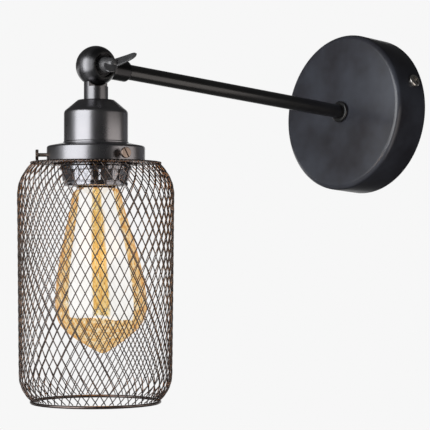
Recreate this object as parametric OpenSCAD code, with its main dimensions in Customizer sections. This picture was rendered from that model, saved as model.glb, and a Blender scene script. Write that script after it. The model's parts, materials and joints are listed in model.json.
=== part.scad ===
// Cage wall light: a round wall plate, a straight arm, a ball knuckle with a wing nut,
// and a lamp head that carries a diamond-mesh cage and a teardrop bulb.
// Millimetres. The wall is the plane y = 0, the arm runs along -Y and +Z is up.

/* [Wall plate] */
// Diameter of the wall plate
plate_d = 124; // [110:1:150]
// Depth of the wall plate from the wall to its front face
plate_depth = 30.5; // [28:0.5:45]
// Radius of the wall plate's front edge
plate_edge_r = 4.2; // [2:0.1:8]
// Sheet thickness of the wall plate
plate_wall = 1.2; // [0.8:0.1:2]
// Turn of the bracket and its side screws from level, in degrees
bracket_turn = 22; // [0:1:45]
// Width of the bracket strap
bracket_w = 20; // [16:1:26]
// Sheet thickness of the bracket
bracket_t = 1.5; // [1.2:0.1:2.5]
// Distance between the two wall screw holes
wall_hole_span = 84; // [70:1:90]
// Diameter of the wall screw holes
wall_hole_d = 4.5; // [3.5:0.1:6]
// Diameter of the cable hole in the bracket
cable_hole_d = 12; // [8:0.5:14]
// Distance of the side screws from the wall
side_screw_y = 10.5; // [9:0.5:13]
// Shank diameter of the side screws
side_screw_d = 4; // [3:0.1:5]

/* [Arm] */
// Distance from the wall to the knuckle's centre
arm_reach = 276; // [200:1:400]
// Outer diameter of the arm tube
tube_d = 11; // [9:0.1:12]
// Wall of the arm tube
tube_wall = 1.2; // [0.8:0.1:1.5]
// Diameter of the collar where the arm leaves the wall plate
arm_collar_d = 17; // [16:0.5:24]
// Height of that collar
arm_collar_h = 2.8; // [2:0.1:8]

/* [Knuckle] */
// Diameter of the knuckle ball
ball_d = 28.4; // [27:0.1:35]
// Distance from the ball's centre to its flat sides
ball_flat = 10.3; // [9.8:0.1:12]
// Place of the seam between the two halves, from the ball's centre towards the wing nut
seam_x = 2.5; // [1:0.1:3]
// Diameter of the collar that takes the arm
collar_d = 14.8; // [13.5:0.1:16]
// Distance from the ball's centre to the collar's end
collar_end = 27; // [24:0.5:36]
// Diameter of the lamp head's stem
stem_d = 17; // [15:0.1:18]
// Diameter of the knuckle bolt
bolt_d = 6; // [5:0.1:6.5]
// Turn of the wings from level, in degrees
wing_turn = 30; // [0:1:90]
// Angle at which the wings flare away from the ball
wing_flare = 45; // [30:1:60]
// Distance from the hub's middle to the end of a wing
wing_len = 22; // [16:0.5:26]

/* [Lamp head] */
// Lean of the lamp head from straight down, bottom towards the wall, in degrees
head_lean = 4.6; // [0:0.1:15]
// Distance from the ball's centre to the top of the cup
cup_top = 23.7; // [22:0.1:30]
// Height of the cup
cup_h = 30.3; // [28:0.1:40]
// Diameter of the cup
cup_d = 44.8; // [43.4:0.1:50]
// Sheet thickness of the cup and the gallery
cup_wall = 1.2; // [0.8:0.1:1.4]
// Diameter of the gallery
gallery_d = 68.8; // [66:0.1:76]
// Height of the gallery, from the cup's lip to its lower edge
gallery_h = 12.8; // [11:0.1:16]
// Shank diameter of the fitter screws
fitter_d = 2.6; // [2:0.1:4]
// Head diameter of the fitter screws
fitter_head_d = 7.5; // [6:0.1:9]
// Length of the fitter screws between the gallery and the head
fitter_standoff = 5.7; // [4:0.1:8]
// Direction of the first fitter screw around the lamp, from +X towards +Y
fitter_turn = -8; // [-60:1:60]

/* [Cage] */
// Largest diameter of the cage
cage_d = 109.8; // [100:0.2:130]
// Diameter of the cage at its lower end, above the rounded edge
cage_low_d = 107; // [98:0.2:130]
// Diameter of the cage's top plate
top_plate_d = 90.8; // [84:0.2:96]
// Diameter of the ring at the cage's opening
ring_d = 90.4; // [80:0.1:98]
// Height of the cage's mesh
cage_h = 165.3; // [160:0.1:200]
// Radius of the cage's lower edge
cage_edge_r = 24; // [14:0.5:30]
// Diamonds around the cage
mesh_count = 20; // [16:2:24]
// Half rows of diamonds from the top to the bottom of the cage
mesh_rows = 10; // [8:2:14]
// Width of a strand of the mesh
strand_w = 1.6; // [1:0.1:2.4]
// Thickness of the mesh
mesh_t = 0.9; // [0.6:0.1:1.5]

/* [Bulb] */
// Largest diameter of the bulb
bulb_d = 64; // [60:0.5:66]
// Overall length of the bulb
bulb_len = 142; // [136:1:146]
// Lean of the glass in its cap, in degrees
bulb_lean = 2.5; // [0:0.1:3]
// Direction of that lean around the lamp, from +X towards +Y
bulb_lean_turn = 48; // [0:1:359]
// Diameter of the bulb's screw cap
cap_d = 26.4; // [26:0.1:26.8]

/* [Hidden] */

$fn = 96;
// Steps of a rounded edge
arc_steps = 6;
// Radial play of a screw or pin in its hole
fit = 0.05;
// Gap between pieces that only lie beside each other
gap = 0.3;
// Overshoot of a cut
over = 1;

// Wall plate
plate_r = plate_d / 2;
plate_in_r = plate_r - plate_wall;
plate_in_y = plate_depth - plate_wall;
tube_r = tube_d / 2;
tube_in_r = tube_r - tube_wall;
side_screw_r = side_screw_d / 2;
ear_w = 14;
ear_out = sqrt(plate_in_r * plate_in_r - bracket_w * bracket_w / 4) - 0.2;
ear_depth = side_screw_y + 6;
side_head_r = 5;
side_head_t = 2.8;
slot_w = 1;
side_slot_w = 1.4;
side_cross_turn = 30;
block_u = -24;
block_l = 24;
block_w = 18;
block_h = 13;
block_pitch = 7.6;
block_hole_r = 1.7;
block_screw_r = 1.5;
block_feet = bracket_t;
earth_u = 20;
earth_r = 2;
washer_t = 1.2;
washer_r = 10;
lock_nut_t = 4;
lock_nut_r = 9;
tube_start = plate_in_y - washer_t - lock_nut_t - 2;

// Knuckle
ball_r = ball_d / 2;
collar_r = collar_d / 2;
stem_r = stem_d / 2;
bolt_r = bolt_d / 2;
seam_gap = 0.2;
swing_gap = 0.35;
flange_gap = ball_r + swing_gap;
pocket_r = 10;
pocket_wall = 2.8;
pocket_front = ball_flat - pocket_wall - 2.5;
pocket_back = ball_flat - pocket_wall - 1.5;
recess_r = 8.3;
recess_floor = pocket_front + pocket_wall;
bolt_seat = pocket_back + 2;
bolt_head_r = 5;
bolt_head_t = 3.2;
tube_clear = 2.45;
tube_end = flange_gap + tube_clear;
lead_bore_r = 4.4;
lead_gate_r = 2.3;
flat_washer_r = 7.2;
flat_washer_t = 1.2;
spring_washer_r = 5.4;
spring_washer_t = 1.5;
hub_start = recess_floor + flat_washer_t + spring_washer_t;
hub_base_r = 5.6;
hub_top_r = 4.2;
hub_h = 9;
bolt_end = hub_start + hub_h + 1.6;
wing_root_x = hub_start + 4.2;
wing_t = 2.4;
wing_root_w = 8;
wing_tip_r = 2.6;

// Lamp head, with distances measured down from the ball's centre
cup_r = cup_d / 2;
cup_low = cup_top + cup_h;
cup_flat_r = 11.6;
cup_cone_h = 9;
cup_lip = 0.5;
spigot_r = 5;
stem_bore_r = 3.6;
stem_nut_r = 8.2;
stem_nut_t = 3;
dome_top = cup_top + 7;
spigot_end = dome_top + 6;
dome_r = cup_r - cup_wall - 2.6;
dome_wall = 1.4;
dome_deck = dome_top + 4;
skirt_r = 19.3;
skirt_wall = 2.4;
skirt_top = cup_low - 4;
skirt_low = cup_low + 28.5;
skirt_flange_r = cup_r - cup_wall - gap;
skirt_lip_r = 14.6;
insert_top = cup_low - 10;
insert_low = cup_low + 2;
insert_r = skirt_r - skirt_wall - fit;
terminal_x = 7.5;
terminal_y = 4.5;
terminal_r = 1.5;
shell_r = cap_d / 2 + gap;
shell_wall = 0.4;
shell_low = skirt_low - 3.5;
contact_low = cup_low + 4.8;
gallery_r = gallery_d / 2;
gallery_slope = 2;
gallery_corner = 1.8;
gallery_low = cup_low + gallery_h;
fitter_r = fitter_d / 2;
fitter_s = gallery_low - 4.4;
fitter_head_t = 2;
fitter_slot_w = 0.9;
fitter_slot_d = 0.9;
neck_gap = 0.9;
neck_r = gallery_r - cup_wall - neck_gap;
neck_wall = 1;
neck_top = gallery_low - 8;
shade_ring_r = 23;
shade_ring_waist_r = 20.8;
shade_ring_low_r = 18.8;
shade_ring_low = skirt_low + 1.4;
shade_ring_waist = shade_ring_low - 4.3;
shade_ring_shoulder = gallery_low + 5;
rib_count = 10;
rib_h = 0.8;
rib_w = 2.2;

// Cage
top_plate_t = 1.2;
cage_top = gallery_low + top_plate_t + gap;
cage_low = cage_top + cage_h;
top_plate_r = top_plate_d / 2;
cage_r = cage_d / 2;
cage_low_r = cage_low_d / 2;
ring_r = ring_d / 2;
ring_wire_r = 1.1;
panel_cols = 2;
shoulder_h = 22;
shoulder_pull = 7.1;
shoulder_drop = 7.6;
shoulder_rise = 10;

// Bulb
bulb_top = contact_low + gap;
bulb_low = bulb_top + bulb_len;
bulb_r = bulb_d / 2;
cap_r = cap_d / 2;
cap_wall = 0.35;
cap_tip_h = 3;
cap_top = bulb_top + cap_tip_h;
cap_low = skirt_low + 3;
glass_wall = 0.8;
glass_seat = cap_low - 4;
glass_neck_r = 16.6;
glass_neck_h = 5;
bulb_wide = bulb_low - 34;
filament_r = 5;
filament_top = cap_low + 12;
filament_low = bulb_wide + 3;
filament_wire_r = 0.3;
filament_turns = 8;
post_r = 1.1;
hook_r = 0.35;
hook_count = 4;

// Leads
lead_r = 0.95;
lead_sides = 8;
lead_pitch = 1.05;
lead_lane_x = (seam_x + pocket_front) / 2;
lead_end = 9.3;
lead_side = 1.35;
lead_gap = 1;
gate_start = 6;
wall_clear = 0.4;
a_end = [-2.2, 0.6, -lead_end];
b_end = [1.4, 2.2, -lead_end];

// Points of an arc about c with radius r from angle a0 to angle a1
function arc(c, r, a0, a1, n = arc_steps) =
    [for (i = [0:n]) c + r * [cos(a0 + (a1 - a0) * i / n), sin(a0 + (a1 - a0) * i / n)]];

// Point at t on a cubic curve with the four control points p
function bezier(p, t) = pow(1 - t, 3) * p[0] + 3 * t * pow(1 - t, 2) * p[1]
    + 3 * t * t * (1 - t) * p[2] + t * t * t * p[3];

// A point of the lamp head in the part's own axes, taken from the knuckle's centre
function leaned(p) = [p[0], p[1] * cos(head_lean) - p[2] * sin(head_lean),
    p[1] * sin(head_lean) + p[2] * cos(head_lean)];

function unit(v) = v / norm(v);

// Direction of a route at point i
function tangent(p, i) = unit(p[min(i + 1, len(p) - 1)] - p[max(i - 1, 0)]);

// A vector square to d that turns as little as it can from the last one
function carried(v, d) = unit(v - (v * d) * d);
function side_vectors(p, start, i = 0) = i == len(p) ? [] :
    let (v = carried(start, tangent(p, i))) concat([v], side_vectors(p, v, i + 1));

// A tube of radius r along the points p, closed at both ends
module swept_tube(p, r, sides, start) {
    n = len(p);
    v = side_vectors(p, start);
    points = [for (i = [0:n - 1]) let (w = cross(tangent(p, i), v[i])) for (k = [0:sides - 1])
        p[i] + r * (v[i] * cos(360 * k / sides) + w * sin(360 * k / sides))];
    walls = [for (i = [0:n - 2]) for (k = [0:sides - 1]) let (m = (k + 1) % sides)
        each [[i * sides + k, (i + 1) * sides + k, i * sides + m],
            [i * sides + m, (i + 1) * sides + k, (i + 1) * sides + m]]];
    ends = [[for (k = [0:sides - 1]) k], [for (k = [sides - 1:-1:0]) (n - 1) * sides + k]];
    polyhedron(points, concat(walls, ends), convexity = 6);
}

// Local z runs away from the wall
module on_wall() {
    rotate([90, 0, 0]) children();
}

// Local z runs away from the wall, local x along the bracket
module on_bracket() {
    on_wall() rotate([0, 0, bracket_turn]) children();
}

module at_knuckle() {
    translate([0, -arm_reach, 0]) children();
}

// Local z runs along the knuckle bolt towards the wing nut
module on_bolt() {
    at_knuckle() rotate([0, 90, 0]) children();
}

// Local -z runs down the lamp's axis from the ball's centre
module in_head() {
    at_knuckle() rotate([head_lean, 0, 0]) children();
}

// Turns an outline of [radius, distance down] about the lamp's axis
module turned_in_head(outline) {
    in_head() mirror([0, 0, 1]) rotate_extrude() polygon(outline);
}

// A tube from z0 to z1 between two radii
module ring(inner, outer, z0, z1) {
    translate([0, 0, z0]) difference() {
        cylinder(r = outer, h = z1 - z0);
        translate([0, 0, -over]) cylinder(r = inner, h = z1 - z0 + 2 * over);
    }
}

module wall_bracket() {
    color("silver") on_bracket() difference() {
        union() {
            translate([-ear_out, -bracket_w / 2, 0]) cube([2 * ear_out, bracket_w, bracket_t]);
            for (side = [0, 180]) rotate([0, 0, side])
                translate([ear_out - bracket_t, -ear_w / 2, 0]) cube([bracket_t, ear_w, ear_depth]);
        }
        for (side = [-1, 1]) translate([side * wall_hole_span / 2, 0, -over])
            cylinder(d = wall_hole_d, h = bracket_t + 2 * over);
        translate([0, 0, -over]) cylinder(d = cable_hole_d, h = bracket_t + 2 * over);
        translate([earth_u, 0, -over]) cylinder(r = earth_r + fit, h = bracket_t + 2 * over);
        for (side = [0, 180]) rotate([0, 0, side]) translate([ear_out - 2 * bracket_t, 0, side_screw_y])
            rotate([0, 90, 0]) cylinder(r = side_screw_r + fit, h = 3 * bracket_t);
    }
}

module canopy() {
    corner = [plate_r - plate_edge_r, plate_depth - plate_edge_r];
    outer = arc(corner, plate_edge_r, 0, 90);
    inner = arc(corner, plate_edge_r - plate_wall, 90, 0);
    hole_r = tube_r + fit;
    color("#36373c") on_bracket() difference() {
        rotate_extrude() polygon(concat([[plate_in_r, 0], [plate_r, 0]], outer,
            [[hole_r, plate_depth], [hole_r, plate_in_y]], inner));
        for (side = [0, 180]) rotate([0, 0, side]) translate([ear_out, 0, side_screw_y])
            rotate([0, 90, 0]) cylinder(r = side_screw_r + gap, h = plate_r);
    }
}

// A round-topped screw head of radius r and height t, standing on z = 0, with one slot or a cross
module slotted_head(r, t, slot, depth, slots = 1) {
    rim = t / 2;
    difference() {
        rotate_extrude() polygon(concat([[0, 0], [r, 0]], arc([r - rim, t - rim], rim, 0, 90), [[0, t]]));
        for (i = [0:slots - 1]) rotate([0, 0, 90 * i]) {
            reach = slots > 1 ? 0.62 * r : r + over;
            translate([-slot / 2, -reach, t - depth]) cube([slot, 2 * reach, depth + over]);
        }
    }
}

module side_screws() {
    shank_in = ear_out - bracket_t - 2;
    color("silver") on_bracket() for (side = [0, 180]) rotate([0, 0, side])
        translate([0, 0, side_screw_y]) rotate([0, 90, 0]) {
            translate([0, 0, shank_in]) cylinder(r = side_screw_r, h = plate_r - shank_in + side_head_t / 4);
            translate([0, 0, plate_r + fit]) rotate([0, 0, side_cross_turn])
                slotted_head(side_head_r, side_head_t, side_slot_w, side_head_t / 2, 2);
        }
}

module terminal_block() {
    color("ivory") on_bracket() difference() {
        translate([block_u - block_l / 2, -block_w / 2, block_feet])
            cube([block_l, block_w, block_h]);
        for (i = [-1:1]) translate([block_u + i * block_pitch, 0, 0]) {
            translate([0, -block_w, block_feet + 4.5]) rotate([-90, 0, 0])
                cylinder(r = block_hole_r, h = 2 * block_w);
            for (end = [-1, 1]) translate([0, end * 5, block_feet + 4.5])
                cylinder(r = block_screw_r + fit, h = block_h);
        }
    }
}

module terminal_screws() {
    screw_h = 5;
    slot = 0.6;
    slot_depth = 0.8;
    color("goldenrod") on_bracket() for (i = [-1:1]) for (end = [-1, 1])
        translate([block_u + i * block_pitch, end * 5, block_feet + 4.5 + block_hole_r])
            difference() {
                cylinder(r = block_screw_r, h = screw_h);
                translate([-slot / 2, -over - block_screw_r, screw_h - slot_depth])
                    cube([slot, 2 * block_screw_r + 2 * over, screw_h]);
            }
}

module earth_screw() {
    earth_washer_t = 0.8;
    color("goldenrod") on_bracket() translate([earth_u, 0, 0]) {
        cylinder(r = earth_r, h = bracket_t + earth_washer_t);
        ring(earth_r - fit, 4.6, bracket_t, bracket_t + earth_washer_t);
        translate([0, 0, bracket_t + earth_washer_t]) slotted_head(3.8, 2.4, slot_w, 1);
    }
}

module arm_washer() {
    color("silver") on_wall() ring(tube_r + fit, washer_r, plate_in_y - washer_t, plate_in_y);
}

module arm_lock_nut() {
    color("silver") on_wall() translate([0, 0, plate_in_y - washer_t - lock_nut_t]) difference() {
        cylinder(r = lock_nut_r, h = lock_nut_t, $fn = 6);
        translate([0, 0, -over]) cylinder(r = tube_r + fit, h = lock_nut_t + 2 * over);
    }
}

module arm_collar() {
    r = arm_collar_d / 2;
    edge = 1.4;
    foot = 0.6;
    color("#2e2e31") on_wall() translate([0, 0, plate_depth]) rotate_extrude()
        polygon(concat([[tube_r + fit, 0], [r - foot, 0], [r - foot, foot], [r, foot]],
            arc([r - edge, arm_collar_h - edge], edge, 0, 90), [[tube_r + fit, arm_collar_h]]));
}

module arm_tube() {
    color("#29292b") on_wall() ring(tube_in_r, tube_r, tube_start, arm_reach - tube_end);
}

// Two supply leads from the terminal block, through the arm, to the lamp side of the ball
module arm_leads() {
    block_out = block_w / 2 + 0.6;
    start = [block_u * cos(bracket_turn), 0, block_u * sin(bracket_turn)];
    along = [-sin(bracket_turn), 0, cos(bracket_turn)];
    step = [cos(bracket_turn), 0, sin(bracket_turn)] * block_pitch;
    lift = block_feet + 4.5;
    knuckle = [0, -arm_reach, 0];
    color("brown") for (side = [-1, 1]) {
        from = start + side * step;
        last = side > 0 ? a_end : b_end;
        route = concat(
            [from + along * (block_w / 2 - 3.5) + [0, -lift, 0],
             from + along * block_out + [0, -lift, 0],
             from + along * (block_out + 3) + [0, -lift - 1.5, 0],
             from * 0.85 + along * (block_out + 4) + [0, -lift - 5, side * lead_pitch],
             from * 0.5 + along * (block_out + 3) + [0, -lift - 10, side * lead_pitch],
             [-4, -tube_start + 4, side * lead_pitch + 3],
             [-1, -tube_start + 1, side * lead_pitch + 0.6],
             [0, -tube_start - 3, side * lead_pitch]],
            [for (y = [50:25:225]) [0, -y, side * lead_pitch]],
            [knuckle + [0, tube_end + 6, side * lead_pitch],
             knuckle + [0.6, tube_end + 3.4, side * lead_pitch],
             knuckle + [tube_in_r - lead_side, tube_end + 0.4, side * lead_pitch],
             knuckle + [lead_lane_x, tube_end - 2.6, side * lead_pitch],
             knuckle + [lead_lane_x, 9.6, side * lead_pitch]],
            side > 0
                ? [knuckle + [2.9, 7.4, 0.9], knuckle + [0.9, 6.4, -0.7], knuckle + [-1.1, 4.9, -3],
                   knuckle + [-2.1, 2.8, -5.4], knuckle + leaned([last[0], last[1] + 0.5, last[2] + 1.9])]
                : [knuckle + [3.6, 7.4, -1.9], knuckle + [3, 5.6, -3.6], knuckle + [2.2, 4.1, -5.4],
                   knuckle + leaned([last[0] + 0.2, last[1] + 0.4, last[2] + 1.9])],
            [knuckle + leaned(last)]);
        swept_tube(route, lead_r, lead_sides, [1, 0, 0]);
    }
}

module knuckle_arm_half() {
    edge = 1.2;
    inside = 4;
    seam = seam_x + seam_gap / 2;
    gate_floor = pocket_front - wall_clear / 4;
    collar = concat([[0, inside], [collar_r, inside]],
        arc([collar_r - edge, collar_end - edge], edge, 0, 90), [[0, collar_end]]);
    color("#2b2b2e") at_knuckle() difference() {
        union() {
            rotate([0, 90, 0]) intersection() {
                sphere(r = ball_r);
                translate([0, 0, seam]) cylinder(r = ball_d, h = ball_flat - seam);
            }
            difference() {
                rotate([-90, 0, 0]) rotate_extrude() polygon(collar);
                translate([seam - ball_d, -ball_d, -ball_d])
                    cube([ball_d, ball_d + flange_gap, 2 * ball_d]);
            }
        }
        rotate([0, 90, 0]) {
            cylinder(r = pocket_r, h = pocket_front);
            translate([0, 0, recess_floor]) cylinder(r = recess_r, h = ball_r);
            cylinder(r = bolt_r + fit, h = ball_r);
        }
        rotate([-90, 0, 0]) {
            translate([0, 0, tube_end]) cylinder(r = tube_r + fit, h = collar_end);
            translate([0, 0, flange_gap + wall_clear]) cylinder(r = lead_bore_r, h = collar_end);
        }
        translate([seam - over, gate_start, -lead_gate_r])
            cube([gate_floor - seam + over, tube_end - gate_start + fit, 2 * lead_gate_r]);
    }
}

module knuckle_bolt() {
    color("#8d8d90") on_bolt() {
        translate([0, 0, -bolt_seat]) cylinder(r = bolt_r, h = bolt_seat + bolt_end);
        translate([0, 0, -bolt_seat]) mirror([0, 0, 1])
            slotted_head(bolt_head_r, bolt_head_t, 1.2, 1.4);
    }
}

module flat_washer() {
    color("#3a3a3d") on_bolt()
        ring(bolt_r + fit, flat_washer_r, recess_floor, recess_floor + flat_washer_t);
}

module spring_washer() {
    start = recess_floor + flat_washer_t;
    split_w = 0.8;
    color("#8d8d90") on_bolt() difference() {
        ring(bolt_r + fit, spring_washer_r, start, start + spring_washer_t);
        rotate([0, 0, 40]) translate([0, -split_w / 2, start - over])
            cube([2 * spring_washer_r, split_w, spring_washer_t + 2 * over]);
    }
}

// Outline of one wing: a bar that narrows to a round end, in [along, across]
function wing_outline() =
    let (tip = wing_len - wing_tip_r,
         slope = asin((wing_root_w / 2 - wing_tip_r) / tip))
    concat([[0, -wing_root_w / 2]], arc([tip, 0], wing_tip_r, -90 + slope, 90 - slope, 2 * arc_steps),
        [[0, wing_root_w / 2]]);

module wing_nut() {
    color("#2e2e31") on_bolt() difference() {
        union() {
            translate([0, 0, hub_start]) cylinder(r1 = hub_base_r, r2 = hub_top_r, h = hub_h);
            for (side = [0, 180]) rotate([0, 0, 90 + wing_turn + side])
                translate([0, 0, wing_root_x]) rotate([90, 0, 0]) rotate([0, 0, wing_flare])
                    translate([0, 0, -wing_t / 2]) linear_extrude(wing_t) polygon(wing_outline());
        }
        translate([0, 0, -over]) cylinder(r = bolt_r + fit, h = bolt_end + 2 * over);
        translate([0, 0, hub_start - ball_r]) cylinder(r = ball_r, h = ball_r);
        translate([0, 0, hub_start + hub_h]) cylinder(r = bolt_r + 1.4, h = ball_r);
    }
}

module knuckle_head_half() {
    seam = seam_x - seam_gap / 2;
    root = 4;
    color("#2b2b2e") in_head() difference() {
        union() {
            intersection() {
                sphere(r = ball_r);
                translate([-ball_flat, -ball_r, -ball_r]) cube([ball_flat + seam, ball_d, ball_d]);
            }
            difference() {
                translate([0, 0, -cup_top]) cylinder(r = stem_r, h = cup_top - root);
                translate([seam, -ball_d, -flange_gap]) cube([ball_d, 2 * ball_d, ball_d]);
            }
            translate([0, 0, -spigot_end]) cylinder(r = spigot_r, h = spigot_end - cup_top + over);
        }
        rotate([0, 90, 0]) {
            translate([0, 0, -pocket_back]) cylinder(r = pocket_r, h = ball_d);
            translate([0, 0, -ball_d - bolt_seat]) cylinder(r = recess_r, h = ball_d);
            translate([0, 0, -ball_d]) cylinder(r = bolt_r + fit, h = 2 * ball_d);
        }
        translate([0, 0, -spigot_end - over]) cylinder(r = stem_bore_r, h = spigot_end - pocket_r / 2);
    }
}

module stem_lock_nut() {
    color("silver") in_head() translate([0, 0, -cup_top - cup_wall - stem_nut_t]) difference() {
        cylinder(r = stem_nut_r, h = stem_nut_t, $fn = 6);
        translate([0, 0, -over]) cylinder(r = spigot_r + fit, h = stem_nut_t + 2 * over);
    }
}

module socket_cup() {
    cone_low = cup_top + cup_cone_h;
    side_in = cup_r - cup_wall;
    outline = [[spigot_r + fit, cup_top], [cup_flat_r, cup_top], [cup_flat_r + 1.2, cup_top + 0.25],
        [cup_flat_r + 2.1, cup_top + 0.9], [cup_r - 0.8, cone_low - 1.4], [cup_r - 0.2, cone_low - 0.4],
        [cup_r, cone_low + 0.8], [cup_r, cup_low - 1.2], [cup_r + cup_lip, cup_low - 0.6],
        [cup_r + cup_lip, cup_low], [side_in, cup_low], [side_in, cone_low + 1.2],
        [cup_flat_r + 1.2, cup_top + cup_wall + 0.5], [cup_flat_r - 0.4, cup_top + cup_wall],
        [spigot_r + fit, cup_top + cup_wall]];
    color("#2f2f33") turned_in_head(outline);
}

// Turns the children to face outward at fitter screw i, local z outward
module at_fitter(i) {
    in_head() translate([0, 0, -fitter_s]) rotate([0, 0, fitter_turn + 120 * i])
        rotate([0, 90, 0]) children();
}

module gallery() {
    corner = [gallery_r - gallery_corner, cup_low + gallery_slope + gallery_corner];
    outer = arc(corner, gallery_corner, -90, 0);
    inner = arc(corner, gallery_corner - cup_wall, 0, -90);
    outline = concat([[skirt_r + fit, cup_low], [cup_r + cup_lip, cup_low]], outer,
        [[gallery_r, gallery_low], [gallery_r - cup_wall, gallery_low]], inner,
        [[cup_r + cup_lip, cup_low + cup_wall], [skirt_r + fit, cup_low + cup_wall]]);
    color("#2f2f33") difference() {
        turned_in_head(outline);
        for (i = [0:2]) at_fitter(i) cylinder(r = fitter_r + fit, h = 2 * gallery_r);
    }
}

module holder_dome() {
    outline = [[spigot_r + fit, dome_top], [8, dome_top], [8, dome_deck], [dome_r - 2, dome_deck],
        [dome_r, dome_deck + 2], [dome_r, skirt_top], [dome_r - dome_wall, skirt_top],
        [dome_r - dome_wall, dome_deck + 2.6], [dome_r - 2.6, dome_deck + dome_wall],
        [8, dome_deck + dome_wall], [8, spigot_end], [spigot_r + fit, spigot_end]];
    color("#1d1d1f") turned_in_head(outline);
}

module holder_skirt() {
    outline = [[skirt_r - skirt_wall, skirt_top], [skirt_flange_r, skirt_top], [skirt_flange_r, cup_low],
        [skirt_r, cup_low], [skirt_r, skirt_low - 1], [skirt_r - 1, skirt_low], [skirt_lip_r, skirt_low],
        [skirt_lip_r, skirt_low - 1.5], [skirt_r - skirt_wall, skirt_low - 1.5]];
    color("#1d1d1f") turned_in_head(outline);
}

module ceramic_insert() {
    wire_r = 1.3;
    insert_h = insert_low - insert_top;
    color("ivory") in_head() difference() {
        translate([0, 0, -insert_low]) cylinder(r = insert_r, h = insert_h);
        for (side = [-1, 1]) {
            translate([side * terminal_x, terminal_y, -insert_low - over])
                cylinder(r = wire_r, h = insert_h + 2 * over);
            translate([side * terminal_x, 0, -insert_top - 5])
                cylinder(r = terminal_r + fit, h = 5 + over);
        }
        translate([0, 0, -insert_low - over]) cylinder(r = terminal_r + fit, h = insert_h + 2 * over);
    }
}

module screw_shell() {
    ridge = 0.5;
    pitch = 3.6;
    count = 4;
    out_r = shell_r + shell_wall;
    rim_r = insert_r - 0.2;
    ridges = [for (i = [0:count - 1]) let (m = insert_low + 5 + pitch * i)
        each [[out_r, m - pitch / 4], [out_r + ridge, m], [out_r, m + pitch / 4]]];
    outline = concat([[shell_r, insert_low], [rim_r, insert_low], [rim_r, insert_low + shell_wall],
        [out_r, insert_low + shell_wall]], ridges, [[out_r, shell_low], [shell_r, shell_low]]);
    color("goldenrod") turned_in_head(outline);
}

module holder_contact() {
    color("goldenrod") in_head() {
        translate([0, 0, -contact_low]) cylinder(r = 3, h = 0.6);
        translate([0, 0, -contact_low + 0.5])
            cylinder(r = terminal_r, h = contact_low - insert_top + gap);
    }
}

module holder_screws() {
    color("goldenrod") in_head() for (side = [-1, 1]) translate([side * terminal_x, 0, -insert_top - 4]) {
        cylinder(r = terminal_r, h = 4 + fit);
        translate([0, 0, 4]) slotted_head(2.8, 1.8, 0.8, 0.9);
    }
}

module shade_ring() {
    top = cup_low + cup_wall;
    slope = atan((shade_ring_r - shade_ring_waist_r) / (shade_ring_waist - shade_ring_shoulder));
    rib_l = (shade_ring_waist - shade_ring_shoulder) / cos(slope);
    edge = 0.6;
    outline = [[skirt_r + fit, top], [shade_ring_r - edge, top], [shade_ring_r, top + edge],
        [shade_ring_r, shade_ring_shoulder],
        [shade_ring_waist_r, shade_ring_waist], [shade_ring_waist_r + 0.4, shade_ring_waist + 0.5],
        [shade_ring_waist_r, shade_ring_waist + 1.2], [shade_ring_low_r, shade_ring_low - 0.6],
        [shade_ring_low_r - 0.6, shade_ring_low], [skirt_lip_r + 1, shade_ring_low],
        [skirt_lip_r + 1, skirt_low + fit], [skirt_r - 1 + fit, skirt_low + fit],
        [skirt_r + fit, skirt_low - 1 + fit]];
    color("#3a3a3e") in_head() mirror([0, 0, 1]) {
        rotate_extrude() polygon(outline);
        for (i = [0:rib_count - 1]) rotate([0, 0, 360 * i / rib_count])
            translate([shade_ring_r, 0, shade_ring_shoulder]) rotate([0, -slope, 0])
                translate([-rib_h, -rib_w / 2, 0]) cube([2 * rib_h, rib_w, rib_l]);
    }
}

// Two leads from the ball's pocket, down the stem, to the insert's terminals
module head_leads() {
    color("brown") for (side = [-1, 1]) {
        last = side > 0 ? a_end : b_end;
        sx = side > 0 ? -1 : 1;
        route = [last + [0, 0, -lead_gap], last + [0, 0, -2.2], [sx * 1.5, 0.8, -14], [sx * 1.5, 0, -20],
            [sx * 1.5, 0, -28], [sx * 1.6, 0, -spigot_end], [sx * 2.2, 0.6, -spigot_end - 2.2],
            [sx * 5, 2.6, -insert_top + 3.2], [sx * 7.2, 4.2, -insert_top + 1],
            [sx * terminal_x, terminal_y, -insert_top - 1],
            [sx * terminal_x, terminal_y, -insert_top - 4]];
        in_head() swept_tube(route, lead_r, lead_sides, [1, 0, 0]);
    }
}

module fitter_screw(i) {
    tip = neck_r + 0.1;
    head = gallery_r + fitter_standoff;
    color("#8a6f5c") at_fitter(i) {
        translate([0, 0, tip]) cylinder(r = fitter_r, h = head - tip);
        translate([0, 0, head]) rotate([0, 0, 20])
            slotted_head(fitter_head_d / 2, fitter_head_t, fitter_slot_w, fitter_slot_d);
    }
}

module fitter_screw_1() {
    fitter_screw(0);
}

module fitter_screw_2() {
    fitter_screw(1);
}

module fitter_screw_3() {
    fitter_screw(2);
}

// The cage's outline at v from 0 at its top to 1 at its opening, as [radius, distance down]
function cage_side(v) =
    let (shoulder = [[top_plate_r, cage_top], [top_plate_r + shoulder_pull, cage_top + shoulder_drop],
             [cage_r, cage_top + shoulder_h - shoulder_rise], [cage_r, cage_top + shoulder_h]],
         turn = acos((ring_r - cage_low_r + cage_edge_r) / cage_edge_r),
         centre = [cage_low_r - cage_edge_r, cage_low - cage_edge_r * sin(turn)],
         part_a = 25,
         part_b = centre[1] - cage_top - shoulder_h,
         part_c = cage_edge_r * turn * PI / 180,
         s = v * (part_a + part_b + part_c))
    s < part_a ? bezier(shoulder, s / part_a)
        : s < part_a + part_b
            ? [cage_r + (cage_low_r - cage_r) * (s - part_a) / part_b, cage_top + shoulder_h + s - part_a]
            : centre + cage_edge_r * [cos(turn * (s - part_a - part_b) / part_c),
                sin(turn * (s - part_a - part_b) / part_c)];

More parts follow.
